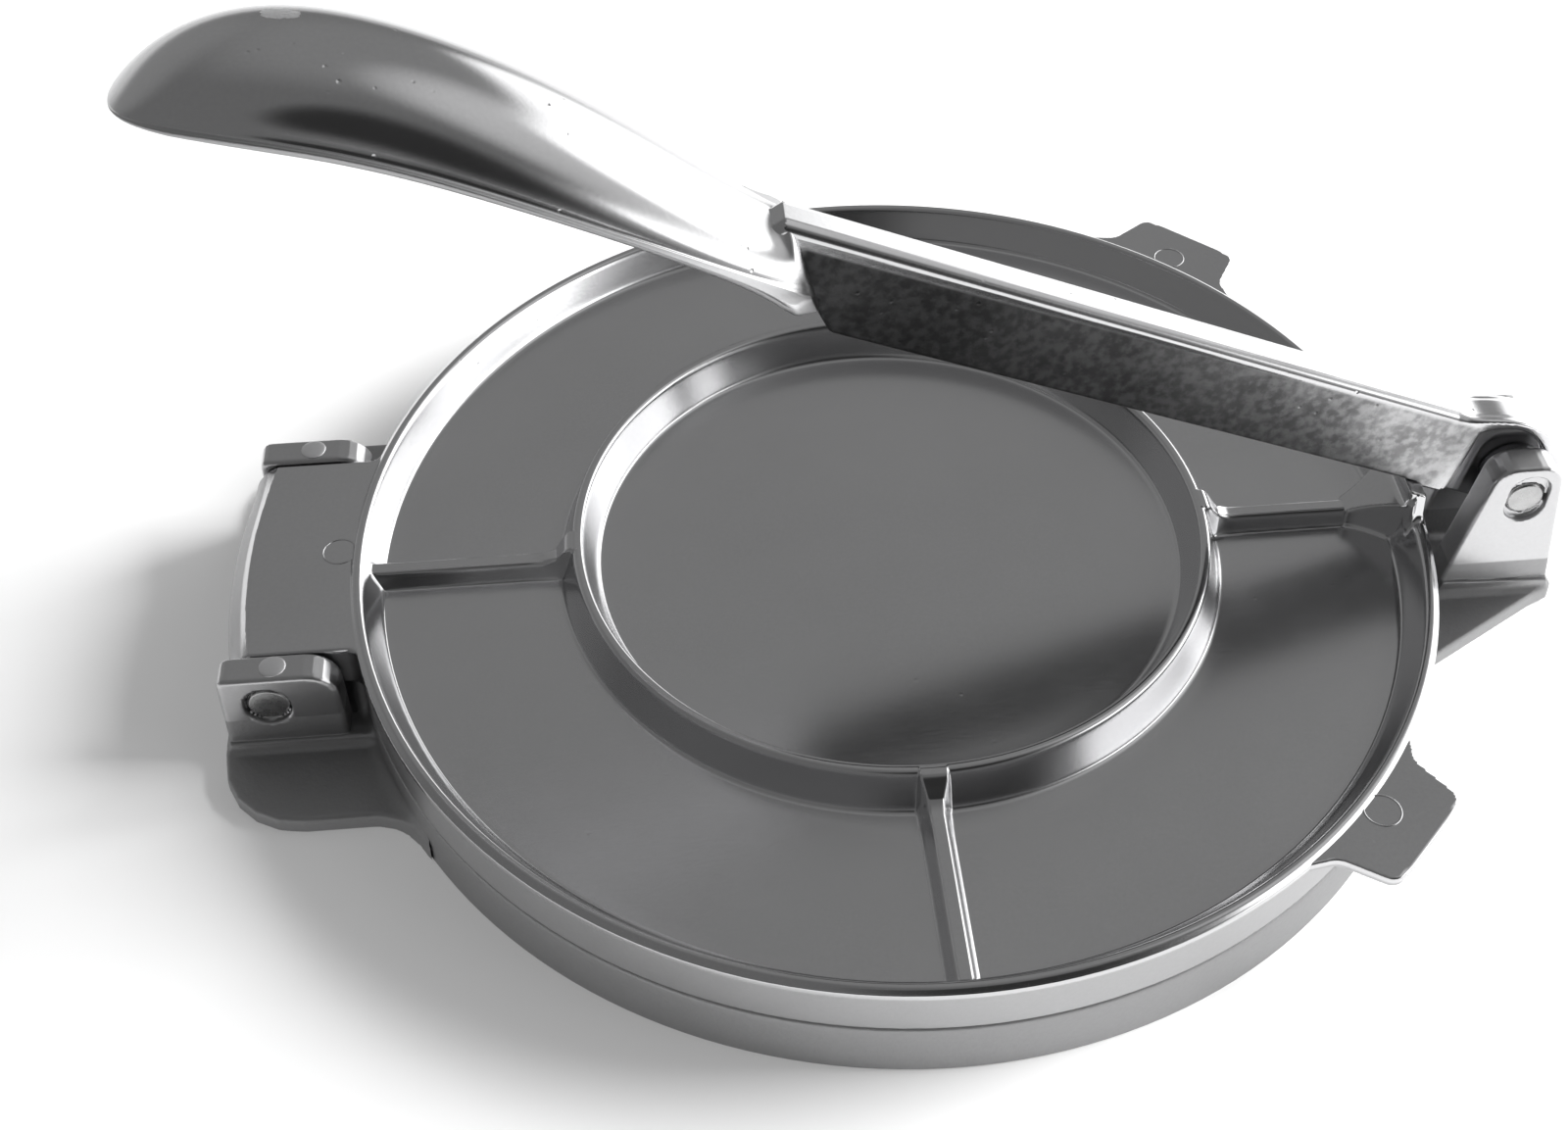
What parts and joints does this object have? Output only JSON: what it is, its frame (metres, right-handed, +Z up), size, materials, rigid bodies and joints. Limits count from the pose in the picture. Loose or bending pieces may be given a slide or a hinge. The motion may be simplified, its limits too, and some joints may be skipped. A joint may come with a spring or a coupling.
{
  "type": "tortilla press",
  "caption": "Round hinged plates on a cast base, with a long pivoting lever that bears on the upper plate to flatten balls of dough between them.",
  "frame": {"origin": "middle of the round base, on the surface it stands on", "axes": "+Z up, +X from the plate hinge towards the lever bracket, +Y to the left of someone who looks along +X"},
  "size_m": [0.2655, 0.2114, 0.1388],
  "materials": {
    "cast_base": "die-cast, tumbled to a soft shine",
    "cast_lid": "die-cast, flat panels satin, rings and ribs bright",
    "cast_lever": "die-cast, beam rough as cast, handle polished",
    "pin_steel": "plain drawn rod"
  },
  "bodies": {
    "base": {"base": "cast_base", "hinge_pin": "pin_steel", "lever_pin": "pin_steel"},
    "lid": {"lid": "cast_lid"},
    "lever": {"lever": "cast_lever"}
  },
  "joints": [
    {"name": "lever_hinge", "type": "hinge", "parent": "base", "child": "lever", "pos_m": [0.1225, 0, 0.0286], "axis": [0, 1, 0], "range_deg": [0, 158]},
    {"name": "lid_hinge", "type": "hinge", "parent": "base", "child": "lid", "pos_m": [-0.1194, 0, 0.015], "axis": [0, -1, 0], "range_deg": [0, 110]}
  ],
  "couplings": [
    {"joint": "lid_hinge", "follows": "lever_hinge", "ratio": 0.075}
  ]
}
